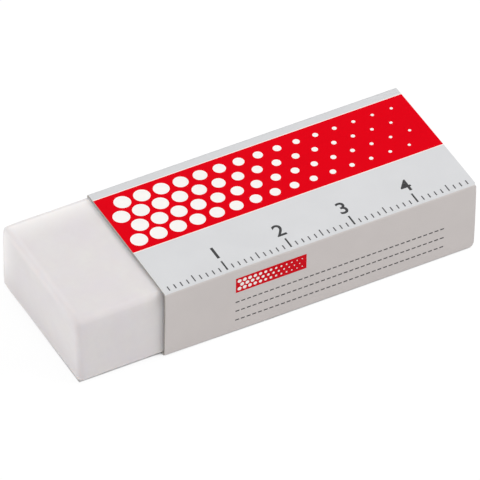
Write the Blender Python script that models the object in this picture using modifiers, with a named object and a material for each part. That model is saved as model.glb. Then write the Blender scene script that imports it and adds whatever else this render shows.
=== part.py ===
"""Block eraser in a wrapped card sleeve, for Blender 4.5, in metres with +Z up.

A soft vinyl block is held by friction in a sleeve made of one card blank. The blank is folded round the
block at four creases, and its last panel is glued over an inner flap on the underside. The block stands
out of the sleeve at the -X end and can be pushed or pulled along X, out of either end.

The origin is the middle of the underside of the whole eraser: X runs along it, the front long side faces
-Y, and the sleeve's underside lies on z = 0.
"""

import math

import bmesh
import bpy

# Vinyl block
BLOCK_LENGTH = 0.0620
BLOCK_WIDTH = 0.0224
BLOCK_HEIGHT = 0.0107
BLOCK_EDGE_RADIUS = 0.0006
BLOCK_RECESS = 0.0003  # how far the block's covered end lies inside the sleeve

# Card sleeve
SLEEVE_LENGTH = 0.0490
CARD_THICKNESS = 0.0003
FIT_CLEARANCE = 0.0001  # running gap between block and card, on every side
FOLD_INSIDE_RADIUS = 0.0003
FLAP_WIDTH = 0.0150  # inner glue flap, from the rear fold to its free edge
FLAP_TAPER = 0.0012  # how far each end of the flap's free edge is cut back
OUTER_PANEL_SETBACK = 0.0005  # from the rear face to the glued panel's free edge

# Adhesive film between the flap and the outer panel
GLUE_THICKNESS = 0.00008
GLUE_CLEARANCE = 0.00001  # on each face of the film
GLUE_MARGIN = 0.0012  # bare card round the film
GLUE_CORNER_RADIUS = 0.0010

# Smoothness of the rounded forms
FOLD_SEGMENTS = 6
EDGE_SEGMENTS = 4

# Heights of the layers, from the underside up
GLUE_SPACE = GLUE_THICKNESS + 2 * GLUE_CLEARANCE
OUTER_PANEL_MIDDLE = CARD_THICKNESS / 2
FLAP_BOTTOM = CARD_THICKNESS + GLUE_SPACE
FLAP_MIDDLE = FLAP_BOTTOM + CARD_THICKNESS / 2
BLOCK_BOTTOM = FLAP_BOTTOM + CARD_THICKNESS + FIT_CLEARANCE
TOP_PANEL_MIDDLE = BLOCK_BOTTOM + BLOCK_HEIGHT + FIT_CLEARANCE + CARD_THICKNESS / 2

# Middle of the card in the two side panels
SIDE_PANEL_MIDDLE = BLOCK_WIDTH / 2 + FIT_CLEARANCE + CARD_THICKNESS / 2
FOLD_RADIUS = FOLD_INSIDE_RADIUS + CARD_THICKNESS / 2

# Places along the eraser
OVERALL_LENGTH = BLOCK_LENGTH + BLOCK_RECESS
BLOCK_END = -OVERALL_LENGTH / 2
BLOCK_CENTRE = BLOCK_END + BLOCK_LENGTH / 2
SLEEVE_FAR_END = OVERALL_LENGTH / 2
SLEEVE_NEAR_END = SLEEVE_FAR_END - SLEEVE_LENGTH


def clear_scene():
    """Removes whatever the scene holds, so that the model starts from nothing."""
    for obj in list(bpy.data.objects):
        bpy.data.objects.remove(obj, do_unlink=True)


def new_collection(name):
    """A collection for the parts, linked to the scene."""
    collection = bpy.data.collections.new(name)
    bpy.context.scene.collection.children.link(collection)
    return collection


def new_material(name, colour, roughness):
    """A Principled material in a linear colour; none of these parts is metal."""
    material = bpy.data.materials.new(name)
    material.use_nodes = True
    shader = material.node_tree.nodes["Principled BSDF"]
    shader.inputs["Base Color"].default_value = (*colour, 1.0)
    shader.inputs["Roughness"].default_value = roughness
    shader.inputs["Metallic"].default_value = 0.0
    material.diffuse_color = (*colour, 1.0)
    return material


def add_object(name, mesh_builder, material, collection, location=(0.0, 0.0, 0.0)):
    """Makes an object from a filled bmesh, and places it."""
    mesh = bpy.data.meshes.new(name)
    mesh_builder.to_mesh(mesh)
    mesh_builder.free()
    mesh.materials.append(material)
    obj = bpy.data.objects.new(name, mesh)
    obj.location = location
    collection.objects.link(obj)
    return obj


def filleted_path(corners, radius, segments):
    """The (y, z) points of a path along straight runs, with each inner corner turned into an arc."""
    points = [corners[0]]
    for before, corner, after in zip(corners, corners[1:], corners[2:]):
        incoming = unit(before, corner)
        outgoing = unit(corner, after)
        turn = math.acos(incoming[0] * outgoing[0] + incoming[1] * outgoing[1])
        side = math.copysign(1.0, incoming[0] * outgoing[1] - incoming[1] * outgoing[0])
        setback = radius * math.tan(turn / 2)
        start = (corner[0] - incoming[0] * setback, corner[1] - incoming[1] * setback)
        centre = (start[0] - side * incoming[1] * radius, start[1] + side * incoming[0] * radius)
        arm = (start[0] - centre[0], start[1] - centre[1])
        for step in range(segments + 1):
            angle = side * turn * step / segments
            points.append(
                (
                    centre[0] + arm[0] * math.cos(angle) - arm[1] * math.sin(angle),
                    centre[1] + arm[0] * math.sin(angle) + arm[1] * math.cos(angle),
                )
            )
    points.append(corners[-1])
    return points


def unit(start, end):
    """The direction from one (y, z) point to another."""
    run = (end[0] - start[0], end[1] - start[1])
    length = math.hypot(*run)
    return (run[0] / length, run[1] / length)


def card_path():
    """The blank's middle line seen along X: inner flap, rear, top, front, then the glued outer panel."""
    flap_edge = (SIDE_PANEL_MIDDLE - FLAP_WIDTH, FLAP_MIDDLE)
    rear_bottom = (SIDE_PANEL_MIDDLE, FLAP_MIDDLE)
    rear_top = (SIDE_PANEL_MIDDLE, TOP_PANEL_MIDDLE)
    front_top = (-SIDE_PANEL_MIDDLE, TOP_PANEL_MIDDLE)
    front_bottom = (-SIDE_PANEL_MIDDLE, OUTER_PANEL_MIDDLE)
    rear_face = SIDE_PANEL_MIDDLE + CARD_THICKNESS / 2
    outer_edge = (rear_face - OUTER_PANEL_SETBACK, OUTER_PANEL_MIDDLE)
    corners = [flap_edge, rear_bottom, rear_top, front_top, front_bottom, outer_edge]
    return filleted_path(corners, FOLD_RADIUS, FOLD_SEGMENTS)


def build_card_sleeve(collection):
    """The sleeve: the blank's middle surface drawn out along X, given the card's thickness."""
    card = bmesh.new()
    rail = [card.verts.new((SLEEVE_NEAR_END, y, z)) for y, z in card_path()]
    for start, end in zip(rail, rail[1:]):
        card.edges.new((start, end))
    drawn = bmesh.ops.extrude_edge_only(card, edges=card.edges[:])
    far_rail = [item for item in drawn["geom"] if isinstance(item, bmesh.types.BMVert)]
    bmesh.ops.translate(card, verts=far_rail, vec=(SLEEVE_LENGTH, 0.0, 0.0))

    # The flap's free edge is cut back at both ends, so that it slips in without catching.
    flap_edge_y = SIDE_PANEL_MIDDLE - FLAP_WIDTH
    for vert in card.verts:
        on_flap_edge = math.isclose(vert.co.y, flap_edge_y, abs_tol=GLUE_CLEARANCE)
        if on_flap_edge and math.isclose(vert.co.z, FLAP_MIDDLE, abs_tol=GLUE_CLEARANCE):
            inward = 1.0 if vert.co.x < SLEEVE_NEAR_END + SLEEVE_LENGTH / 2 else -1.0
            vert.co.x += inward * FLAP_TAPER

    bmesh.ops.recalc_face_normals(card, faces=card.faces[:])
    printed_card = new_material("printed_card", (0.68, 0.70, 0.71), 0.45)
    sleeve = add_object("card_sleeve", card, printed_card, collection)
    wall = sleeve.modifiers.new("card_thickness", "SOLIDIFY")
    wall.thickness = CARD_THICKNESS
    wall.offset = 0.0
    wall.use_even_offset = True
    return sleeve


def build_eraser_block(collection):
    """The vinyl block, with its origin on the line that it slides along."""
    block = bmesh.new()
    bmesh.ops.create_cube(block, size=1.0)
    bmesh.ops.scale(block, verts=block.verts[:], vec=(BLOCK_LENGTH, BLOCK_WIDTH, BLOCK_HEIGHT))
    vinyl = new_material("white_vinyl", (0.77, 0.74, 0.73), 0.5)
    centre = (BLOCK_CENTRE, 0.0, BLOCK_BOTTOM + BLOCK_HEIGHT / 2)
    eraser_block = add_object("eraser_block", block, vinyl, collection, centre)
    rounding = eraser_block.modifiers.new("soft_edges", "BEVEL")
    rounding.width = BLOCK_EDGE_RADIUS
    rounding.segments = EDGE_SEGMENTS
    rounding.limit_method = "NONE"
    eraser_block.data.shade_smooth()
    return eraser_block


def build_seam_glue(collection):
    """The film of adhesive between the flap and the outer panel, short of the card's edges all round."""
    length = SLEEVE_LENGTH - 2 * (FLAP_TAPER + GLUE_MARGIN)
    front = SIDE_PANEL_MIDDLE - FLAP_WIDTH + GLUE_MARGIN
    rear = SIDE_PANEL_MIDDLE + CARD_THICKNESS / 2 - OUTER_PANEL_SETBACK - GLUE_MARGIN
    film = bmesh.new()
    bmesh.ops.create_cube(film, size=1.0)
    bmesh.ops.scale(film, verts=film.verts[:], vec=(length, rear - front, GLUE_THICKNESS))
    upright = [edge for edge in film.edges if is_upright(edge)]
    bmesh.ops.bevel(
        film,
        geom=upright,
        offset=GLUE_CORNER_RADIUS,
        affect="EDGES",
        segments=EDGE_SEGMENTS,
        profile=0.5,
        material=-1,
    )
    glue = new_material("clear_adhesive", (0.75, 0.72, 0.62), 0.35)
    sleeve_centre = SLEEVE_NEAR_END + SLEEVE_LENGTH / 2
    middle_height = CARD_THICKNESS + GLUE_SPACE / 2
    return add_object(
        "seam_glue",
        film,
        glue,
        collection,
        (sleeve_centre, (front + rear) / 2, middle_height),
    )


def is_upright(edge):
    """True for an edge that runs along Z."""
    run = edge.verts[1].co - edge.verts[0].co
    return abs(run.z) > 0 and math.isclose(run.x, 0.0) and math.isclose(run.y, 0.0)


def build_eraser():
    """Builds every piece. The glue goes with the sleeve, and the block slides along X inside them."""
    clear_scene()
    collection = new_collection("eraser")
    sleeve = build_card_sleeve(collection)
    glue = build_seam_glue(collection)
    build_eraser_block(collection)
    glue.parent = sleeve


build_eraser()
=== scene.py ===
"""Looks of a white block eraser in a printed card sleeve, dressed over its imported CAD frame.

Everything is in metres in the frame's own axes: X runs along the eraser, away from its bare end, the front long
side faces -Y, and the sleeve lies on z = 0. Three sub-assemblies stand over the frame: the vinyl block, the folded
card sleeve, and the inks that are printed on the sleeve. The studio holds the floor, the lamps and the camera.
"""

import logging
import math
from collections.abc import Iterable
from dataclasses import dataclass
from enum import Enum
from functools import cached_property

import bmesh
import bpy
from mathutils import Matrix, Vector, noise


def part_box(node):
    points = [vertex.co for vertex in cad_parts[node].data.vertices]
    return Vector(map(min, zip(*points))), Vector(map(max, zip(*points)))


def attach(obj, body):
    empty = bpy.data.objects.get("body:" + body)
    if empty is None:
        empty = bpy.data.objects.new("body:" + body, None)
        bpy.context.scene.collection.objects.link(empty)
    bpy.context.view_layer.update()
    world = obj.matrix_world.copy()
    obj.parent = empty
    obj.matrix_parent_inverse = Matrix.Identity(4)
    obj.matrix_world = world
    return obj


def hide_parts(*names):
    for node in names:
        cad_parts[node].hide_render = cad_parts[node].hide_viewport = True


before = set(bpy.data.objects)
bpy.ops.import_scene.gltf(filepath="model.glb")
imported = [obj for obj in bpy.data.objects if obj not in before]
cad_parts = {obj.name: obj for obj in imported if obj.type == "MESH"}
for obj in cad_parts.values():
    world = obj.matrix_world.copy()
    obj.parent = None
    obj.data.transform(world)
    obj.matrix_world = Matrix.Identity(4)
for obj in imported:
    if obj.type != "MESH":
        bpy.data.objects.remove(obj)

LOG = logging.getLogger("block_eraser")
MM = 0.001
WELD = 1e-7  # vertices nearer than this are one vertex
PHOTO_WIDTH_PX = 480
SENSOR_WIDTH_MM = 36.0
SLEEVE_WIDTH = 23.2 * MM  # the unit of the fitted camera
FIGURE_SHARE = 0.7  # how high the font's figures are, as a share of its size
MIX_SHARE, MIX_FIRST, MIX_SECOND, MIX_RESULT = 0, 6, 7, 2  # a colour mix's sockets, whose names are not unique

Pair = tuple[float, float]
Triple = tuple[float, float, float]
Colour = Triple  # linear red, green and blue
Socket = bpy.types.NodeSocket
BMesh = bmesh.types.BMesh
Piece = bpy.types.Object
Material = bpy.types.Material


class Axis(Enum):
    """The frame's axes, as unit vectors."""

    X = (1.0, 0.0, 0.0)
    Y = (0.0, 1.0, 0.0)
    Z = (0.0, 0.0, 1.0)

    def at(self, place: float) -> Vector:
        """The point at that place along the axis."""
        return Vector(self.value) * place


class SleeveFace(Enum):
    """What each part of the sleeve's skin is printed with, in the order of its material slots."""

    SILVER = 0
    # A darker, warmer copy of the silver print for the upright panels: painted shade.
    WARM_GREY = 1
    RED = 2
    BARE_LINE = 3
    BOARD = 4
    PATCH_RED = 5


# Finishes


class Graph:
    """The node tree of one material or world."""

    def __init__(self, name: str, is_world: bool = False) -> None:
        """Starts a material or a world with the nodes that it has by itself."""
        self.owner = (bpy.data.worlds if is_world else bpy.data.materials).new(name)
        self.owner.use_nodes = True
        self.tree = self.owner.node_tree

    @cached_property
    def place(self) -> Socket:
        """Object coordinates."""
        return self.node("ShaderNodeTexCoord").outputs["Object"]

    def node(self, kind: str, inputs: dict | None = None, **properties: object) -> bpy.types.Node:
        """Adds a node.

        Args:
            kind: Blender's name for the node type.
            inputs: A value, or a socket to link, for each input by its name or number.
            properties: The node's own settings.

        Returns:
            The new node.
        """
        made = self.tree.nodes.new(kind)
        for name, value in properties.items():
            setattr(made, name, value)
        self.wire(made, inputs or {})
        return made

    def wire(self, target: bpy.types.Node, inputs: dict) -> None:
        """Sets or links the inputs of a node."""
        for name, value in inputs.items():
            if isinstance(value, Socket):
                self.tree.links.new(value, target.inputs[name])
            else:
                target.inputs[name].default_value = value

    def stretched(self, scale: Triple) -> Socket:
        """Object coordinates, stretched by a factor along each axis."""
        return self.node("ShaderNodeMapping", {"Vector": self.place, "Scale": scale}).outputs["Vector"]

    def mottle(self, grain: float, detail: float = 3.0, roughness: float = 0.5, place: Socket | None = None) -> Socket:
        """Noise between 0 and 1 in patches of that size, read at a place or else in Object coordinates."""
        inputs = {"Vector": place or self.place, "Scale": 1.0 / grain, "Detail": detail, "Roughness": roughness}
        return self.node("ShaderNodeTexNoise", inputs).outputs["Fac"]

    def remap(self, value: Socket, source: Iterable[float], target: Iterable[float] = (0.0, 1.0)) -> Socket:
        """Maps one range of values to another, and holds the result inside it."""
        ends = zip(("From Min", "From Max", "To Min", "To Max"), (*source, *target))
        return self.node("ShaderNodeMapRange", {"Value": value, **dict(ends)}).outputs["Result"]

    def maths(self, operation: str, first: object, second: object) -> Socket:
        """One step of arithmetic on values or sockets."""
        return self.node("ShaderNodeMath", {0: first, 1: second}, operation=operation).outputs["Value"]

    def product(self, first: Socket, *others: object) -> Socket:
        """The product of values or sockets."""
        for other in others:
            first = self.maths("MULTIPLY", first, other)
        return first

    def along(self, axis: Axis) -> Socket:
        """The place along one of the object's axes."""
        return self.node("ShaderNodeSeparateXYZ", {"Vector": self.place}).outputs[axis.name]

    def blend(self, share: Socket, first: object, second: object) -> Socket:
        """Goes from the first colour to the second as the share goes from 0 to 1."""
        colours = [colour if isinstance(colour, Socket) else (*colour, 1.0) for colour in (first, second)]
        inputs = {MIX_SHARE: share, MIX_FIRST: colours[0], MIX_SECOND: colours[1]}
        return self.node("ShaderNodeMix", inputs, data_type="RGBA").outputs[MIX_RESULT]

    def bump(self, height: Socket, depth: float, strength: float, under: Socket | None = None) -> Socket:
        """The normal of a relief as deep as that in metres, which may lie on the normal of a coarser one."""
        inputs = {"Height": height, "Distance": depth, "Strength": strength}
        return self.node("ShaderNodeBump", inputs if under is None else {**inputs, "Normal": under}).outputs["Normal"]

    def mix_shaders(self, share: Socket, first: Socket, second: Socket, output: str) -> None:
        """Hands the output node a shader that goes from the first to the second with the share."""
        both = self.node("ShaderNodeMixShader", {"Fac": share, 1: first, 2: second})
        self.wire(self.tree.nodes[output], {"Surface": both.outputs["Shader"]})

    def coated(self, inputs: dict) -> Material:
        """The material, with these inputs of its Principled shader set or linked."""
        self.wire(self.tree.nodes["Principled BSDF"], inputs)
        return self.owner


@dataclass(frozen=True)
class SoftVinyl:
    """Plasticised vinyl, waxy and slightly clear, with a faint mottle and the drag lines of the blade that cut it.

    Attributes:
        colour: Its linear colour.
        cream: The colour of its yellower clouds.
        shade: The colour of its greyer clouds.
        painted_rear_glow: A paler colour towards the rear, short of the rear edges themselves: a painted glow of light
            from behind.
        painted_edge_highlight: A paler colour on the upper edge of the bare end: a painted highlight.
        painted_foot_shade: A darker colour low on the bare end: painted shade.
        roughness: How dull it is.
        gloss: The shader's specular level.
        clearness: How much of its colour comes from light that has gone through it.
        glow_depth: How far that light goes.
    """

    colour: Colour = (0.752, 0.716, 0.730)
    cream: Colour = (0.770, 0.745, 0.732)
    shade: Colour = (0.730, 0.690, 0.704)
    painted_rear_glow: Colour = (0.918, 0.896, 0.886)
    painted_edge_highlight: Colour = (0.815, 0.783, 0.790)
    painted_foot_shade: Colour = (0.650, 0.615, 0.620)
    roughness: float = 0.56
    gloss: float = 0.16
    clearness: float = 0.8
    glow_depth: float = 1.2 * MM

    def material(self) -> Material:
        """The finish as a material."""
        graph = Graph("white_vinyl")
        clouds = graph.remap(graph.mottle(2.2 * MM, 4.0, 0.6), (0.38, 0.70))
        blade = graph.mottle(0.45 * MM, 2.0, place=graph.stretched((1.0, 1.0, 0.06)))
        skin = graph.bump(graph.mottle(1.1 * MM, 3.0), 0.02 * MM, 0.5)
        cut = graph.bump(blade, 0.012 * MM, 0.5, skin)
        return graph.coated(
            {
                "Base Color": self.tint(graph, clouds),
                "Roughness": graph.remap(clouds, (0.0, 1.0), (self.roughness - 0.04, self.roughness + 0.06)),
                "Normal": graph.bump(graph.mottle(0.12 * MM, 2.0), 0.004 * MM, 0.4, cut),
                "Specular IOR Level": self.gloss,
                "Subsurface Weight": self.clearness,
                "Subsurface Radius": (1.0, 0.9, 0.82),
                "Subsurface Scale": self.glow_depth,
            }
        )

    def tint(self, graph: Graph, clouds: Socket) -> Socket:
        """The colour from place to place.

        Args:
            graph: The material's nodes.
            clouds: Where the greyer clouds are.

        Returns:
            The colour.
        """
        x, y, z = (graph.along(axis) for axis in Axis)
        lowest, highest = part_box("eraser_block")
        patches = graph.remap(graph.mottle(4.5 * MM, 2.0), (0.35, 0.68))
        tint = graph.blend(patches, self.colour, self.cream)
        tint = graph.blend(graph.product(clouds, 0.55), tint, self.shade)

        # Painted light: paler towards the rear, as if lit through from behind; the rim keeps the last fraction of a
        # millimetre at the rear edge out of it.
        rearward = graph.remap(y, (highest.y - 4.6 * MM, highest.y))
        rim = graph.remap(y, (highest.y - 0.50 * MM, highest.y - 0.20 * MM), (1.0, 0.0))
        tint = graph.blend(graph.product(graph.maths("POWER", rearward, 1.6), rim), tint, self.painted_rear_glow)

        # Painted highlight on the upper edge of the bare end, weaker towards the front.
        endward = graph.remap(x, (lowest.x + 0.2 * MM, lowest.x + 1.3 * MM), (1.0, 0.0))
        upward = graph.remap(z, (highest.z - 0.9 * MM, highest.z - 0.3 * MM))
        backward = graph.remap(y, (lowest.y, lowest.y + 9.0 * MM), (0.2, 1.0))
        tint = graph.blend(graph.product(endward, upward, backward), tint, self.painted_edge_highlight)

        # Painted shade: the bare end darker towards its foot.
        outward = graph.remap(x, (lowest.x, lowest.x + 1.5 * MM), (0.75, 0.0))
        downward = graph.remap(z, (lowest.z, lowest.z + 6.0 * MM), (1.0, 0.0))
        return graph.blend(graph.product(outward, graph.maths("POWER", downward, 1.5)), tint, self.painted_foot_shade)


@dataclass(frozen=True)
class SatinInk:
    """An ink printed on the coated face of the card, with the paper's faint tooth under it.

    Attributes:
        name: The material's name.
        colour: Its linear colour.
        drift: The share by which the colour drifts over a few millimetres.
        roughness: How dull it is.
        gloss: The shader's specular level.
        worn: Whether the folds show specks of bare paper.
        painted_rear_shade: The share by which it is darker behind the band and on the rear fold, where it is painted
            shade.
    """

    name: str
    colour: Colour
    drift: float = 0.03
    roughness: float = 0.42
    gloss: float = 0.3
    worn: bool = False
    painted_rear_shade: float = 0.0

    def material(self) -> Material:
        """The finish as a material."""
        graph = Graph(self.name)
        thin = tuple(value * (1.0 - self.drift) for value in self.colour)
        tint = graph.blend(graph.remap(graph.mottle(6.0 * MM, 3.0), (0.35, 0.65)), self.colour, thin)
        # Darker behind the band, and painted shade on the rear fold.
        if self.painted_rear_shade > 0.0:
            dim = tuple(value * (1.0 - self.painted_rear_shade) for value in self.colour)
            tint = graph.blend(self.rearward(graph), tint, dim)
        if self.worn:
            tint = graph.blend(self.wear(graph), tint, (0.86, 0.85, 0.83))
        tooth = graph.mottle(0.16 * MM, 3.0, 0.6, graph.stretched((0.55, 1.0, 1.0)))
        return graph.coated(
            {
                "Base Color": tint,
                "Roughness": graph.remap(tooth, (0.3, 0.7), (self.roughness - 0.03, self.roughness + 0.05)),
                "Normal": graph.bump(tooth, 0.003 * MM, 0.35),
                "Specular IOR Level": self.gloss,
            }
        )

    def rearward(self, graph: Graph) -> Socket:
        """How much of the painted rear shade there is: some behind the band, and all of it on the fold."""
        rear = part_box("card_sleeve")[1].y
        y = graph.along(Axis.Y)
        strip = graph.remap(y, (rear - 1.9 * MM, rear - 1.6 * MM), (0.0, 0.3))
        fold = graph.remap(y, (rear - 0.55 * MM, rear - 0.25 * MM), (0.0, 0.7))
        return graph.maths("ADD", strip, fold)

    def wear(self, graph: Graph) -> Socket:
        """How much of the ink is worn off: a few specks along the two upper folds."""
        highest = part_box("card_sleeve")[1]
        outward = graph.maths("ABSOLUTE", graph.along(Axis.Y), 0.0)
        side = graph.remap(outward, (highest.y - 0.35 * MM, highest.y - 0.05 * MM))
        crown = graph.remap(graph.along(Axis.Z), (highest.z - 0.40 * MM, highest.z - 0.10 * MM))
        specks = graph.remap(graph.mottle(0.9 * MM, 5.0, 0.7), (0.64, 0.72), (0.0, 0.8))
        return graph.product(side, crown, specks)


@dataclass(frozen=True)
class RawBoard:
    """The card's uncoated grey back and its cut edges, with fibres that lie along X.

    Attributes:
        colour: Its linear colour.
        pulp: The colour of its darker fibres.
    """

    colour: Colour = (0.47, 0.45, 0.42)
    pulp: Colour = (0.34, 0.32, 0.30)

    def material(self) -> Material:
        """The finish as a material."""
        graph = Graph("raw_board")
        fibres = graph.mottle(0.22 * MM, 4.0, 0.65, graph.stretched((0.25, 1.0, 1.0)))
        return graph.coated(
            {
                "Base Color": graph.blend(graph.remap(fibres, (0.45, 0.8)), self.colour, self.pulp),
                "Roughness": graph.remap(fibres, (0.3, 0.7), (0.80, 0.92)),
                "Normal": graph.bump(fibres, 0.02 * MM, 0.5),
                "Specular IOR Level": 0.2,
            }
        )


@dataclass(frozen=True)
class DriedAdhesive:
    """The thin film of glue in the sleeve's seam, slightly yellow and uneven.

    Attributes:
        colour: Its linear colour.
        thick: Its colour where it pools.
    """

    colour: Colour = (0.72, 0.68, 0.55)
    thick: Colour = (0.62, 0.56, 0.41)

    def material(self) -> Material:
        """The finish as a material."""
        graph = Graph("clear_adhesive")
        pools = graph.mottle(1.6 * MM, 3.0)
        return graph.coated(
            {
                "Base Color": graph.blend(graph.remap(pools, (0.4, 0.7)), self.colour, self.thick),
                "Roughness": graph.remap(pools, (0.3, 0.7), (0.22, 0.38)),
                "Normal": graph.bump(pools, 0.02 * MM, 0.4),
            }
        )


# Shared mesh steps


def cut_across(mesh: BMesh, axis: Axis, places: Iterable[float]) -> None:
    """Cuts a mesh by planes square to an axis at those places, and keeps both sides."""
    for place in places:
        everything = mesh.verts[:] + mesh.edges[:] + mesh.faces[:]
        bmesh.ops.bisect_plane(mesh, geom=everything, dist=WELD, plane_co=axis.at(place), plane_no=axis.at(1.0))


def even_steps(start: float, end: float, longest: float) -> list[float]:
    """The places that split a run into equal steps, none of them longer than the longest allowed."""
    count = math.ceil((end - start) / longest)
    return [start + (end - start) * step / count for step in range(1, count)]


def finished_object(name: str, mesh: BMesh, materials: Iterable[Material], smooth: bool = True) -> Piece:
    """Turns a filled bmesh into an object at the origin.

    Args:
        name: The piece's name.
        mesh: Its mesh, which this frees.
        materials: One material for each slot.
        smooth: Whether gentle angles are shaded round.

    Returns:
        The object, linked to the scene.
    """
    data = bpy.data.meshes.new(name)
    mesh.to_mesh(data)
    mesh.free()
    for material in materials:
        data.materials.append(material)
    made = bpy.data.objects.new(name, data)
    bpy.context.scene.collection.objects.link(made)
    if smooth:
        data.shade_smooth()
        data.set_sharp_from_angle(angle=math.radians(35.0))
    return made


# Sub-assemblies


@dataclass
class VinylBlock:
    """The eraser's block, which stands for the CAD node eraser_block.

    Attributes:
        upper_rounds: The radii of the edges of its top, at the bare end, the front, the rear and the covered end.
        upright_rounds: The radii of its upright edges, at the bare end's front and rear, then at the covered end.
        lower_rounds: The radii of the edges of its underside, in the order of those of its top.
        worn_corners: The corners that rubbing has worn: which they are, how deep, and how far from the corner.
        end_lean: How far the foot of the bare end stands back.
        end_twist: The share by which it stands back more at the front and less at the rear.
        front_lean: How far the top of the front side stands back, and over what height.
        rear_lean: How far the block lies to the rear in the sleeve.
        crown: How far the middle of the ends, the sides, and the top and underside stands out over their edges.
        swell: How far the same faces stand out of the node's box.
        face_from: From what share of the way out a face takes its crown and swell.
        unevenness: How far the soft faces wander.
        wander: The length over which they do so.
        front_sag: How far the front edge of the underside sinks into the room beside the glue flap.
        step: The longest side of a face of its mesh.
        segments: How many faces round an edge.
    """

    upper_rounds: tuple[float, ...] = (0.95 * MM, 0.72 * MM, 0.12 * MM, 0.30 * MM)
    upright_rounds: tuple[float, ...] = (0.90 * MM, 0.20 * MM, 0.30 * MM)
    lower_rounds: tuple[float, ...] = (0.45 * MM, 0.42 * MM, 0.25 * MM, 0.25 * MM)
    worn_corners: tuple[tuple[Triple, float, float], ...] = (
        ((-1.0, -1.0, 1.0), 0.20 * MM, 5.0 * MM),
        ((-1.0, 1.0, -1.0), 0.20 * MM, 1.3 * MM),
        ((-1.0, 1.0, 1.0), 0.14 * MM, 3.0 * MM),
    )
    end_lean: float = 0.17 * MM
    end_twist: float = 0.8
    front_lean: Pair = (0.42 * MM, 3.6 * MM)
    rear_lean: float = 0.055 * MM
    crown: Triple = (0.14 * MM, 0.02 * MM, 0.02 * MM)
    swell: Triple = (0.05 * MM, 0.02 * MM, 0.05 * MM)
    face_from: float = 0.6
    unevenness: float = 0.015 * MM
    wander: float = 7.0 * MM
    front_sag: float = 0.12 * MM
    step: float = 0.7 * MM
    segments: int = 6

    def build(self) -> Piece:
        """Makes the block in its node's place.

        Returns:
            The finished piece.
        """
        lowest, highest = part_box("eraser_block")
        size = highest - lowest
        centre = (highest + lowest) / 2
        block = bmesh.new()
        bmesh.ops.create_cube(block, size=1.0)
        bmesh.ops.scale(block, verts=block.verts[:], vec=size)
        bmesh.ops.translate(block, verts=block.verts[:], vec=centre)
        block = self.rounded(block, centre)
        margin = max(self.upper_rounds) * 1.1  # just past the widest rounding
        for axis, low, high in zip(Axis, lowest, highest):
            cut_across(block, axis, even_steps(low + margin, high - margin, self.step))
        self.relax(block, centre, size)
        bmesh.ops.recalc_face_normals(block, faces=block.faces[:])
        return finished_object("vinyl_block", block, [SoftVinyl().material()])

    def rounded(self, block: BMesh, centre: Vector) -> BMesh:
        """Rounds each edge of the plain block by its own radius.

        Args:
            block: The plain block, which this frees.
            centre: Its middle.

        Returns:
            The rounded block.
        """
        widest = max(*self.upper_rounds, *self.upright_rounds, *self.lower_rounds)
        weight = block.edges.layers.float.new("bevel_weight_edge")
        for edge in block.edges:
            edge[weight] = self.radius_of(edge, centre) / widest
        draft = finished_object("plain_block", block, [], smooth=False)
        rounding = draft.modifiers.new("rounding", "BEVEL")
        rounding.limit_method = "WEIGHT"
        rounding.width = widest
        rounding.segments = self.segments
        result = bmesh.new()
        result.from_object(draft, bpy.context.evaluated_depsgraph_get())
        bpy.data.objects.remove(draft, do_unlink=True)
        return result

    def radius_of(self, edge: bmesh.types.BMEdge, centre: Vector) -> float:
        """The radius that an edge of the plain block is rounded to."""
        middle = (edge.verts[0].co + edge.verts[1].co) / 2 - centre
        if abs(middle.z) < WELD:
            if middle.x > 0:
                return self.upright_rounds[2]
            return self.upright_rounds[0 if middle.y < 0 else 1]
        rounds = self.upper_rounds if middle.z > 0 else self.lower_rounds
        if abs(middle.x) < WELD:
            return rounds[1 if middle.y < 0 else 2]
        return rounds[0 if middle.x < 0 else 3]

    def relax(self, block: BMesh, centre: Vector, size: Vector) -> None:
        """Crowns the faces, lets them wander and lets the underside sag, as soft vinyl does.

        Args:
            block: The mesh.
            centre: The middle of the node's box.
            size: The box's size.
        """
        for vert in block.verts:
            share = Vector([2 * (vert.co[i] - centre[i]) / size[i] for i in range(3)])
            wander = noise.noise(vert.co / self.wander) * self.unevenness
            for i in range(3):
                others = [share[j] for j in range(3) if j != i]
                bulge = self.crown[i] * (1 - others[0] ** 2) * (1 - others[1] ** 2)
                face = max(0.0, abs(share[i]) - self.face_from) / (1 - self.face_from)
                vert.co[i] += math.copysign(face * (self.swell[i] + bulge + wander), share[i])
            vert.co.z -= self.front_sag * max(0.0, -share.y) ** 2 * (1 - share.z) / 2
            vert.co.y += self.rear_lean
            below_top = (1 - share.z) * size.z / 2
            tucked = max(0.0, 1 - below_top / self.front_lean[1]) ** 2 * max(0.0, -share.y)
            vert.co.y += self.front_lean[0] * tucked
            lean = self.end_lean * (1 - share.y * self.end_twist)
            vert.co.x += lean * (1 - share.x) / 2 * (1 - share.z) / 2
            for corner, depth, reach in self.worn_corners:
                apart = Vector([(share[i] - corner[i]) * size[i] / 2 for i in range(3)]).length
                vert.co -= Vector(corner).normalized() * depth * max(0.0, 1 - apart / reach) ** 2

    def dress(self, block: Piece) -> None:
        """Puts the block on its body, in its node's place."""
        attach(block, "block")
        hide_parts("eraser_block")


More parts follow.
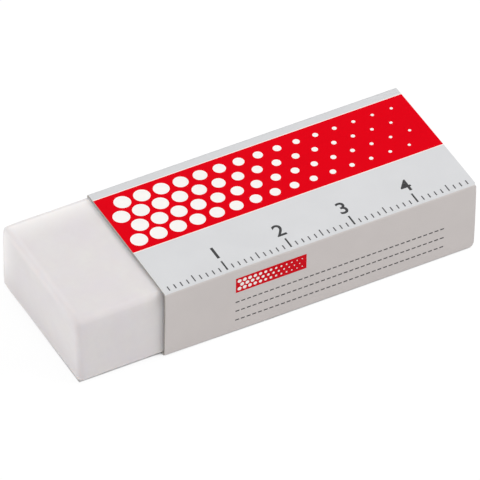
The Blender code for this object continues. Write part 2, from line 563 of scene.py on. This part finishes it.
@dataclass
class CardSleeve:
    """The folded card sleeve, which stands for the CAD node card_sleeve.

    Its skin is the outer face of the blank: inner flap, rear, top, front, then the glued outer panel.

    Attributes:
        thickness: The card's thickness.
        fold_round: The outer radius of a fold.
        flap_width: The inner flap, from the rear fold to its free edge.
        flap_height: The underside of the flap.
        flap_taper: How far each end of the flap's free edge is cut back.
        panel_setback: From the rear face to the glued panel's free edge.
        band_run: From the rear face to the front edge of the red band, and to its rear edge.
        line_width: The line of bare white card along each edge of the band.
        patch_run: From the sleeve's mouth to the two ends of the small patch on the front.
        patch_levels: The heights of the patch's lower and upper edges.
        top_bow: How far the middle of the top stands out.
        side_bow: How far the middle of each side stands out.
        lip: How far the cut ends of the panels flare.
        mouth_lift: How far the lower front fold rises at the mouth.
        mouth_push: How far the upper front fold is pushed forward and down there.
        mouth_reach: How far from the front both of these reach.
        ripple: How far the panels wander.
        ripple_length: The length over which they do so.
        corner_rounds: The radii to which the lower and the upper front corner at the covered end are worn.
        worn_steps: How far from the edges the mesh is cut more finely for them.
        panel_depth: How far under its outer face a panel takes in vertices, which is more than its wall.
        face_slack: How far a face may lie under that of the panel that it is in.
        step: The longest side of a face of its mesh.
        segments: How many faces round a fold.
    """

    thickness: float = 0.30 * MM
    fold_round: float = 0.45 * MM
    flap_width: float = 15.15 * MM
    flap_height: float = 0.40 * MM
    flap_taper: float = 1.2 * MM
    panel_setback: float = 0.5 * MM
    band_run: Pair = (13.772 * MM, 1.78 * MM)
    line_width: float = 0.16 * MM
    patch_run: Pair = (11.0 * MM, 22.1 * MM)
    patch_levels: Pair = (7.50 * MM, 10.17 * MM)
    top_bow: float = 0.05 * MM
    side_bow: float = 0.05 * MM
    lip: float = 0.03 * MM
    mouth_lift: float = 0.24 * MM
    mouth_push: Pair = (0.10 * MM, 0.06 * MM)
    mouth_reach: float = 8.0 * MM
    ripple: float = 0.015 * MM
    ripple_length: float = 9.0 * MM
    corner_rounds: Pair = (1.2 * MM, 0.55 * MM)
    worn_steps: tuple[float, ...] = (0.30 * MM, 0.62 * MM, 0.82 * MM, 1.1 * MM)
    panel_depth: float = 0.4 * MM
    face_slack: float = 0.05 * MM
    step: float = 1.0 * MM
    segments: int = 8

    def __post_init__(self) -> None:
        """Reads the outer size of the sleeve from its node."""
        lowest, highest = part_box("card_sleeve")
        self.near_end, self.far_end = lowest.x, highest.x
        self.half_width, self.height = highest.y, highest.z
        self.band = tuple(self.half_width - place for place in self.band_run)
        self.patch = tuple(self.near_end + place for place in self.patch_run)

    def build(self) -> Piece:
        """Folds the blank from its skin, cuts it along the edges of the inks, and gives it its wall.

        Returns:
            The finished piece.
        """
        card = self.folded_skin()
        lines = [self.band[0] - self.line_width, *self.band, self.band[1] + self.line_width]
        flat = self.fold_round * 1.6  # past a fold, with room before the first cut
        columns = even_steps(self.near_end, self.far_end, self.step)
        rows = even_steps(-self.half_width + flat, self.half_width - flat, self.step)
        levels = [*self.worn_steps, *even_steps(self.worn_steps[-1], self.height - flat, self.step)]
        worn_columns = [self.far_end - place for place in self.worn_steps]
        cut_across(card, Axis.X, [*columns, *worn_columns, *self.patch])
        cut_across(card, Axis.Y, [*self.clear_of(rows, lines), *lines])
        cut_across(card, Axis.Z, [*self.clear_of(levels, self.patch_levels), *self.patch_levels])
        for face in card.faces:
            face.material_index = self.ink_of(face).value
        skin = card.faces[:]
        bmesh.ops.solidify(card, geom=skin, thickness=self.thickness)
        printed = set(skin)
        for face in card.faces:
            if face not in printed:
                face.material_index = SleeveFace.BOARD.value
        bmesh.ops.recalc_face_normals(card, faces=card.faces[:])
        self.relax(card)
        return finished_object("printed_sleeve", card, self.finishes())

    def folded_skin(self) -> BMesh:
        """The outer face of the folded blank, with its creases rounded.

        Returns:
            A mesh with no wall yet, whose faces point outwards.
        """
        half, top = self.half_width, self.height
        corners = [
            (half - self.flap_width, self.flap_height),
            (half, self.flap_height),
            (half, top),
            (-half, top),
            (-half, 0.0),
            (half - self.panel_setback, 0.0),
        ]
        card = bmesh.new()
        rail = [card.verts.new((self.near_end, y, z)) for y, z in corners]
        for start, end in zip(rail, rail[1:]):
            card.edges.new((start, end))
        drawn = bmesh.ops.extrude_edge_only(card, edges=card.edges[:])
        far_rail = [item for item in drawn["geom"] if isinstance(item, bmesh.types.BMVert)]
        bmesh.ops.translate(card, verts=far_rail, vec=(self.far_end - self.near_end, 0.0, 0.0))
        for vert in card.verts:
            if math.isclose(vert.co.y, half - self.flap_width, abs_tol=WELD):
                inward = 1.0 if vert.co.x < 0 else -1.0
                vert.co.x += inward * self.flap_taper
        bmesh.ops.bevel(
            card,
            geom=[edge for edge in card.edges if len(edge.link_faces) == 2],
            offset=self.fold_round,
            affect="EDGES",
            segments=self.segments,
            profile=0.5,
            material=-1,
        )
        bmesh.ops.recalc_face_normals(card, faces=card.faces[:])
        return card

    def clear_of(self, places: Iterable[float], lines: Iterable[float]) -> list[float]:
        """Leaves out the places that would cut a sliver beside a line."""
        return [place for place in places if all(abs(place - line) > self.step / 4 for line in lines)]

    def ink_of(self, face: bmesh.types.BMFace) -> SleeveFace:
        """What a face of the skin is printed with."""
        middle = face.calc_center_median()
        if middle.z > self.height - self.face_slack:
            if self.band[0] < middle.y < self.band[1]:
                return SleeveFace.RED
            if self.band[0] - self.line_width < middle.y < self.band[1] + self.line_width:
                return SleeveFace.BARE_LINE
            return SleeveFace.SILVER
        if middle.y < -self.half_width + self.face_slack:
            low, high = self.patch_levels
            if self.patch[0] < middle.x < self.patch[1] and low < middle.z < high:
                return SleeveFace.PATCH_RED
        # Upright panels take the darker, warmer copy of the silver print: painted shade.
        upright = abs(face.normal.y) > 0.7
        return SleeveFace.WARM_GREY if upright else SleeveFace.SILVER

    def relax(self, mesh: BMesh) -> None:
        """Bows the panels a little, flares their cut ends and wears the corners of the covered end.

        The inks go through the same moves, so that they stay on the card.
        """
        length = self.far_end - self.near_end
        for vert in mesh.verts:
            x, y, z = vert.co
            along = 2 * (x - self.near_end) / length - 1
            across = max(0.0, 1 - (y / (self.half_width - self.fold_round)) ** 2)
            middle = self.height / 2
            upward = max(0.0, 1 - ((z - middle) / (middle - self.fold_round)) ** 2)
            sway = self.ripple * noise.noise(Vector((x, y, z)) / self.ripple_length)
            flare = self.lip * along**6
            if z > middle and abs(y) < self.half_width - self.fold_round:
                vert.co.z += across * (self.top_bow + flare + sway)
            if abs(y) > self.half_width - self.panel_depth:
                vert.co.y += math.copysign(upward * (self.side_bow + flare + sway), y)
            slack = (1 - along) / 2
            frontward = max(0.0, 1 - (y + self.half_width) / self.mouth_reach)
            low = max(0.0, 1 - z / self.height)
            vert.co.z += self.mouth_lift * frontward**2 * low * slack**2
            vert.co.y -= self.mouth_push[0] * frontward**2 * (1 - low) * slack**4
            vert.co.z -= self.mouth_push[1] * frontward**2 * (1 - low) * slack**4
            for from_level, radius in zip((z, self.height - z), self.corner_rounds):
                self.wear_corner(vert, Vector((y + self.half_width, from_level)), radius)

    def wear_corner(self, vert: bmesh.types.BMVert, from_fold: Vector, radius: float) -> None:
        """Pushes the covered end of a fold back, so that its corner is round.

        Args:
            vert: A vertex of the card.
            from_fold: The way to it from the fold, across the card.
            radius: The radius of the worn corner.
        """
        reach = 2.5 * radius
        from_end = self.far_end - vert.co.x
        apart = from_fold.length
        if from_end < reach and apart < radius:
            round_off = radius - math.sqrt(radius**2 - (radius - apart) ** 2)
            fade = 1 - from_end / reach
            vert.co.x -= round_off * fade**2 * (3 - 2 * fade)

    def finishes(self) -> list[Material]:
        """The sleeve's materials, in the order of its slots."""
        return [
            # The silver print darkens towards the rear, with painted shade on the rear fold.
            SatinInk("silver_print", (0.690, 0.695, 0.708), worn=True, painted_rear_shade=0.14).material(),
            # Painted shade: the silver print again, darker and warmer, for the upright panels.
            SatinInk("silver_print_painted_shade", (0.622, 0.578, 0.563), worn=True).material(),
            SatinInk("red_print", (0.767, 0.0, 0.0075), gloss=0.02).material(),
            SatinInk("bare_line", (0.93, 0.83, 0.79)).material(),
            RawBoard().material(),
            SatinInk("patch_red", (0.645, 0.006, 0.014), gloss=0.02).material(),
        ]

    def dress(self, sleeve: Piece) -> None:
        """Puts the sleeve on its body, in its node's place."""
        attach(sleeve, "sleeve")
        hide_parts("card_sleeve")


@dataclass
class SleevePrint:
    """The inks that lie on the sleeve as thin films: dots in the red, a centimetre scale and dashed writing lines.

    Attributes:
        sleeve: The sleeve that they are printed on.
        film: How far a film stands out of the card.
        sunk: How far it reaches into the card.
        dot_sides: How many sides a dot has.
        dot_pitch: From dot to dot in a row of the band.
        dot_rows: How many rows the band has.
        dot_sizes: The diameters of its dots at the covered end and at the mouth.
        band_margin: How far they stay from the band's ends.
        patch_pitch: From dot to dot in a row of the patch.
        patch_rows: How many rows the patch has.
        scale_foot: From the front of the sleeve to the scale's marks.
        mark_lengths: How long its marks for whole and half centimetres and for millimetres are.
        mark_widths: How wide the marks for centimetres and the others are.
        numeral_height: How high its figures are.
        numeral_gap: From a mark to its figure.
        numeral_weight: By how much a figure's strokes are widened on each side.
        rule_heights: How high the writing lines lie.
        rule_run: From the sleeve's mouth to the start and the end of these lines.
        rule_width: How wide they are.
        dash: How long each of their dashes is. The gaps are half as long.
    """

    sleeve: CardSleeve
    film: float = 0.006 * MM
    sunk: float = 0.004 * MM
    dot_sides: int = 24
    dot_pitch: float = 3.05 * MM
    dot_rows: int = 4
    dot_sizes: Pair = (0.45 * MM, 2.5 * MM)
    band_margin: float = 2.0 * MM
    patch_pitch: float = 0.82 * MM
    patch_rows: int = 3
    scale_foot: float = 0.55 * MM
    mark_lengths: Triple = (1.9 * MM, 1.3 * MM, 0.85 * MM)
    mark_widths: Pair = (0.26 * MM, 0.17 * MM)
    numeral_height: float = 2.3 * MM
    numeral_gap: float = 0.7 * MM
    numeral_weight: float = 0.045 * MM
    rule_heights: tuple[float, ...] = (5.7 * MM, 4.0 * MM, 2.3 * MM)
    rule_run: Pair = (11.0 * MM, 43.5 * MM)
    rule_width: float = 0.20 * MM
    dash: float = 0.60 * MM

    def build(self) -> list[Piece]:
        """Makes every film.

        Returns:
            The finished pieces.
        """
        white = SatinInk("white_print", (0.95, 0.925, 0.895), gloss=0.2).material()
        dark = SatinInk("dark_print", (0.045, 0.045, 0.047), drift=0.1, gloss=0.2).material()
        return [
            self.laid_on_card("band_dots", self.band_dots(), white),
            self.laid_on_card("patch_dots", self.patch_dots(), white),
            self.laid_on_card("centimetre_scale", self.scale_marks(), dark),
            self.laid_on_card("fine_rules", self.fine_rules(), dark),
        ]

    def laid_on_card(self, name: str, film: BMesh, ink: Material) -> Piece:
        """Bends a film with the card and finishes it."""
        self.sleeve.relax(film)
        return finished_object(name, film, [ink], smooth=False)

    def band_dots(self) -> BMesh:
        """White dots in the red band, in staggered rows that swell and fade along the sleeve."""
        film = bmesh.new()
        start = self.sleeve.near_end + self.band_margin
        end = self.sleeve.far_end - self.band_margin
        middle = sum(self.sleeve.band) / 2
        row_pitch = self.dot_pitch * math.sqrt(3) / 2
        smallest, largest = self.dot_sizes
        for row in range(self.dot_rows):
            y = middle + (row - (self.dot_rows - 1) / 2) * row_pitch
            x = start + (self.dot_pitch / 2 if row % 2 else 0.0)
            while x < end:
                share = (x - start) / (end - start)
                swell = 0.5 + 0.5 * math.cos(math.pi * share)
                place = Matrix.Translation((x, y, self.sleeve.height))
                self.add_dot(film, place, smallest + (largest - smallest) * swell)
                x += self.dot_pitch
        return film

    def patch_dots(self) -> BMesh:
        """The same dots in small, in the patch on the front."""
        film = bmesh.new()
        start, end = self.sleeve.patch
        middle = sum(self.sleeve.patch_levels) / 2
        upright = Matrix.Rotation(math.radians(90.0), 4, "X")
        for row in range(self.patch_rows):
            z = middle + (row - (self.patch_rows - 1) / 2) * self.patch_pitch * math.sqrt(3) / 2
            x = start + self.patch_pitch * (1.2 if row % 2 else 0.7)
            while x < end - self.patch_pitch / 2:
                share = (x - start) / (end - start)
                size = self.patch_pitch * (0.2 + 0.55 * (0.5 + 0.5 * math.cos(math.pi * share)))
                place = Matrix.Translation((x, -self.sleeve.half_width, z)) @ upright
                self.add_dot(film, place, size)
                x += self.patch_pitch
        return film

    def add_dot(self, film: BMesh, place: Matrix, size: float) -> None:
        """Adds one round spot of ink.

        Args:
            film: The mesh that it is added to.
            place: Its middle on the card's face, with +Z out of the card.
            size: Its diameter.
        """
        rise = Matrix.Translation((0.0, 0.0, (self.film - self.sunk) / 2))
        bmesh.ops.create_cone(
            film,
            cap_ends=True,
            segments=self.dot_sides,
            radius1=size / 2,
            radius2=size / 2,
            depth=self.film + self.sunk,
            matrix=place @ rise,
        )

    def add_bar(self, film: BMesh, low: Vector, high: Vector) -> None:
        """Adds one straight bar of ink between two corners."""
        made = bmesh.ops.create_cube(film, size=1.0)
        bmesh.ops.scale(film, verts=made["verts"], vec=high - low)
        bmesh.ops.translate(film, verts=made["verts"], vec=(low + high) / 2)

    def scale_marks(self) -> BMesh:
        """A plain centimetre scale along the front edge of the top, with its numbers."""
        film = bmesh.new()
        foot = -self.sleeve.half_width + self.scale_foot
        low, high = self.sleeve.height - self.sunk, self.sleeve.height + self.film
        length_mm = round((self.sleeve.far_end - self.sleeve.near_end) / MM)
        for millimetre in range(1, length_mm):
            centimetre = millimetre % 10 == 0
            rise = self.mark_lengths[0 if centimetre else 1 if millimetre % 5 == 0 else 2]
            width = self.mark_widths[0 if centimetre else 1]
            x = self.sleeve.near_end + millimetre * MM
            self.add_bar(film, Vector((x - width / 2, foot, low)), Vector((x + width / 2, foot + rise, high)))
            if centimetre:
                base = foot + rise + self.numeral_gap
                self.add_numeral(film, str(millimetre // 10), Vector((x, base, (low + high) / 2)))
        return film

    def add_numeral(self, film: BMesh, figure: str, foot: Vector) -> None:
        """Adds one figure of the scale, lying on the top with its foot towards the front.

        Args:
            film: The mesh that it is added to.
            figure: The figure.
            foot: The middle of its foot, half way through the film.
        """
        text = bpy.data.curves.new("figure", "FONT")
        text.body = figure
        text.align_x = "CENTER"
        text.size = self.numeral_height / FIGURE_SHARE
        text.extrude = (self.film + self.sunk) / 2
        text.offset = self.numeral_weight
        text.resolution_u = 6
        holder = bpy.data.objects.new("figure", text)
        bpy.context.scene.collection.objects.link(holder)
        bpy.context.view_layer.update()
        outline = bmesh.new()
        outline.from_mesh(holder.evaluated_get(bpy.context.evaluated_depsgraph_get()).to_mesh())
        bmesh.ops.remove_doubles(outline, verts=outline.verts[:], dist=WELD)
        bmesh.ops.translate(outline, verts=outline.verts[:], vec=foot)
        bmesh.ops.recalc_face_normals(outline, faces=outline.faces[:])
        shape = bpy.data.meshes.new("figure")
        outline.to_mesh(shape)
        outline.free()
        film.from_mesh(shape)
        bpy.data.meshes.remove(shape)
        bpy.data.objects.remove(holder)
        bpy.data.curves.remove(text)

    def fine_rules(self) -> BMesh:
        """Three finely dashed lines low on the front, to write a name on."""
        film = bmesh.new()
        face = -self.sleeve.half_width
        start, end = (self.sleeve.near_end + place for place in self.rule_run)
        for height in self.rule_heights:
            x = start
            while x < end:
                low = Vector((x, face - self.film, height - self.rule_width / 2))
                high = Vector((x + self.dash, face + self.sunk, height + self.rule_width / 2))
                self.add_bar(film, low, high)
                x += self.dash * 1.5
        return film

    def dress(self, films: list[Piece]) -> None:
        """Puts the films on the sleeve's body."""
        for film in films:
            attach(film, "sleeve")


@dataclass
class SeamGlue:
    """The film of adhesive between the flap and the outer panel. Its CAD node stays as it is."""

    node: str = "seam_glue"

    def dress(self) -> None:
        """Gives the node its finish."""
        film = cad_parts[self.node]
        film.data.materials.clear()
        film.data.materials.append(DriedAdhesive().material())


# Studio


@dataclass
class Lamp:
    """A rectangular soft lamp that looks at the eraser.

    Attributes:
        name: What it is for.
        place: Where it stands.
        size: How wide and how high it is.
        level: How bright it makes a white face turned to it, where 1 is white.
        colour: Its linear colour.
    """

    name: str
    place: Triple
    size: Pair
    level: float
    colour: Colour = (1.0, 1.0, 1.0)

    def build(self, target: Vector) -> None:
        """Makes the lamp, turned to a point."""
        light = bpy.data.lights.new(self.name, "AREA")
        light.shape = "RECTANGLE"
        light.size, light.size_y = self.size
        light.energy = self.level * math.pi**2 * Vector(self.place).length_squared
        light.color = self.colour
        lamp = bpy.data.objects.new(self.name, light)
        lamp.location = self.place
        lamp.rotation_mode = "QUATERNION"
        lamp.rotation_quaternion = (target - lamp.location).to_track_quat("-Z", "Y")
        bpy.context.scene.collection.objects.link(lamp)


@dataclass
class PhotoCamera:
    """The camera at the photograph's viewing angle, a long lens about a metre away.

    Attributes:
        azimuth: Degrees round from the front, less than 0 towards the bare end.
        elevation: Degrees above the horizon.
        roll: Degrees that the picture is turned.
        distance: From the middle of the sleeve's underside.
        focal_px: The focal length in pixels of the photograph.
        pan: How far it is moved across and up, in its own plane.
    """

    azimuth: float = -28.9372
    elevation: float = 42.4328
    roll: float = 1.0008
    distance: float = 43.7801 * SLEEVE_WIDTH
    focal_px: float = 7249.0
    pan: Pair = (-0.2464 * SLEEVE_WIDTH, 0.0688 * SLEEVE_WIDTH)

    def build(self, target: Vector) -> None:
        """Makes the camera and hands it to the scene.

        Args:
            target: The point that distance and pan are measured from.
        """
        turn, rise, roll = (math.radians(angle) for angle in (self.azimuth, self.elevation, self.roll))
        back = Vector((math.sin(turn) * math.cos(rise), -math.cos(turn) * math.cos(rise), math.sin(rise)))
        right = Vector((math.cos(turn), math.sin(turn), 0.0))
        up = back.cross(right)
        picture_right = right * math.cos(roll) + up * math.sin(roll)
        picture_up = up * math.cos(roll) - right * math.sin(roll)
        lens = bpy.data.cameras.new("photo_camera")
        lens.sensor_width = SENSOR_WIDTH_MM
        lens.lens = self.focal_px * SENSOR_WIDTH_MM / PHOTO_WIDTH_PX
        lens.clip_start = 0.05
        lens.clip_end = 50.0
        camera = bpy.data.objects.new("photo_camera", lens)
        place = target + back * self.distance + right * self.pan[0] + up * self.pan[1]
        columns = Matrix((picture_right, picture_up, back)).transposed()
        camera.matrix_world = Matrix.Translation(place) @ columns.to_4x4()
        bpy.context.scene.collection.objects.link(camera)
        bpy.context.scene.camera = camera


@dataclass
class Studio:
    """A pale floor, a white background, soft lamps and the camera.

    Attributes:
        ambient: The strength of the even light from all round.
        floor_half: Half the length of the floor's side.
        floor_drop: How far it lies under the sleeve.
        floor_colour: Its colour.
        floor_glow: The share of plain white in the floor as the camera sees it.
        floor_fill: The share of it in the floor for the light that it throws back.
        floor_white: How bright that white is.
        floor_far: From where to where the floor turns to that white alone, away from its middle.
        gaps: Where that white is left out under the eraser: from and to along X, and half the width at both.
        gap_fade: Over what length it ends there.
        cover_reach: Up to what distance a piece over the floor keeps the white off it, at rest or moved.
        cover_rays: How many rays look for such a piece.
        deep_cover: Open shares of these at which none and all of the white is left, anywhere on the floor.
        edge_cover: The same in the gaps.
        lamps: The soft lamps.
    """

    ambient: float = 0.40
    floor_half: float = 3.0
    floor_drop: float = 0.03 * MM
    floor_colour: Colour = (0.82, 0.82, 0.82)
    floor_glow: float = 0.88
    floor_fill: float = 0.25
    floor_white: float = 1.05
    floor_far: Pair = (0.30, 0.90)
    gaps: tuple[tuple[float, float, float, float], ...] = (
        (-30.57 * MM, -17.6 * MM, 10.54 * MM, 10.52 * MM),
        (-17.6 * MM, -2.0 * MM, 11.18 * MM, 11.43 * MM),
        (-2.0 * MM, 31.0 * MM, 11.43 * MM, 11.46 * MM),
    )
    gap_fade: float = 0.1 * MM
    cover_reach: float = 3.0 * MM
    cover_rays: int = 24
    deep_cover: Pair = (0.13, 0.23)
    edge_cover: Pair = (0.50, 0.65)
    lamps: tuple[Lamp, ...] = (
        Lamp("overhead", (0.05, 0.20, 1.20), (1.20, 1.20), 0.225),
        Lamp("key", (1.16, -0.50, 0.89), (1.40, 0.80), 0.66),
        Lamp("left", (-1.36, 0.10, 0.26), (1.40, 0.50), 0.33),
        Lamp("rear", (-0.20, 1.36, 0.55), (1.40, 0.90), 0.20),
    )

    def build(self) -> None:
        """Makes the whole studio."""
        bpy.context.scene.view_settings.view_transform = "Standard"
        self.build_floor()
        self.build_world()
        lowest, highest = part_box("card_sleeve")
        for lamp in self.lamps:
            lamp.build((lowest + highest) / 2)
        PhotoCamera().build(Vector(((lowest.x + highest.x) / 2, 0.0, 0.0)))

    def seen_directly(self, graph: Graph) -> Socket:
        """1 for rays that show the background: from the camera, mirrored or through glass."""
        rays = graph.node("ShaderNodeLightPath").outputs
        total = rays["Is Camera Ray"]
        for kind in ("Is Glossy Ray", "Is Transmission Ray"):
            inputs = {0: total, 1: rays[kind]}
            total = graph.node("ShaderNodeMath", inputs, operation="ADD", use_clamp=True).outputs["Value"]
        return total

    def under_eraser(self, graph: Graph) -> Socket:
        """1 on the floor close under the eraser, where a glow would fill the shadow of the gap, and 0 elsewhere."""
        sky = graph.node("ShaderNodeAmbientOcclusion", {"Distance": self.cover_reach}, samples=self.cover_rays)
        under = graph.remap(sky.outputs["AO"], self.deep_cover, (1.0, 0.0))
        near = graph.remap(sky.outputs["AO"], self.edge_cover, (1.0, 0.0))
        x = graph.along(Axis.X)
        outward = graph.maths("ABSOLUTE", graph.along(Axis.Y), 0.0)
        for start, end, first_half, last_half in self.gaps:
            from_middle = graph.maths("SUBTRACT", x, (start + end) / 2)
            along = graph.maths("ABSOLUTE", from_middle, 0.0)
            half_length = (end - start) / 2
            lengthwise = graph.remap(along, (half_length - self.gap_fade, half_length), (1.0, 0.0))
            half_width = graph.remap(x, (start, end), (first_half, last_half))
            across = graph.remap(graph.maths("SUBTRACT", outward, half_width), (-self.gap_fade, 0.0), (1.0, 0.0))
            under = graph.maths("MAXIMUM", under, graph.product(lengthwise, across, near))
        return under

    def build_floor(self) -> None:
        """Makes the floor: pale for the light that it throws back, near white to look at."""
        sheet = bmesh.new()
        bmesh.ops.create_grid(sheet, x_segments=8, y_segments=8, size=self.floor_half)
        bmesh.ops.translate(sheet, verts=sheet.verts[:], vec=(0.0, 0.0, -self.floor_drop))
        graph = Graph("pale_floor")
        graph.coated({"Base Color": (*self.floor_colour, 1.0), "Roughness": 0.9, "Specular IOR Level": 0.0})
        plain = graph.tree.nodes["Principled BSDF"]
        glow = graph.node("ShaderNodeEmission", {"Strength": self.floor_white})
        away = graph.node("ShaderNodeVectorMath", {0: graph.place}, operation="LENGTH")
        glow_share = graph.remap(away.outputs["Value"], self.floor_far, (self.floor_glow, 1.0))
        added = graph.maths("SUBTRACT", glow_share, self.floor_fill)
        seen = graph.product(self.seen_directly(graph), added)
        share = graph.maths("ADD", seen, self.floor_fill)
        open_share = graph.product(share, graph.maths("SUBTRACT", 1.0, self.under_eraser(graph)))
        graph.mix_shaders(open_share, plain.outputs["BSDF"], glow.outputs["Emission"], "Material Output")
        finished_object("floor", sheet, [graph.owner], smooth=False)

    def build_world(self) -> None:
        """Makes the world: even light, and a white background."""
        graph = Graph("white_studio", is_world=True)
        white = (1.0, 1.0, 1.0, 1.0)
        light = graph.tree.nodes["Background"]
        graph.wire(light, {"Color": white, "Strength": self.ambient})
        backdrop = graph.node("ShaderNodeBackground", {"Color": white, "Strength": 1.0})
        shaders = (node.outputs["Background"] for node in (light, backdrop))
        graph.mix_shaders(self.seen_directly(graph), *shaders, "World Output")
        bpy.context.scene.world = graph.owner


def corners(bounds: tuple[Vector, Vector]) -> list[list[float]]:
    """A box's two corners as plain lists."""
    return [list(corner) for corner in bounds]


def main() -> None:
    logging.basicConfig(level=logging.INFO, format="%(name)s: %(message)s")
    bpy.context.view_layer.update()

    block = VinylBlock()
    block.dress(block.build())

    sleeve = CardSleeve()
    sleeve.dress(sleeve.build())

    inks = SleevePrint(sleeve)
    inks.dress(inks.build())

    SeamGlue().dress()
    Studio().build()

    bpy.context.view_layer.update()


if __name__ == "__main__":
    main()
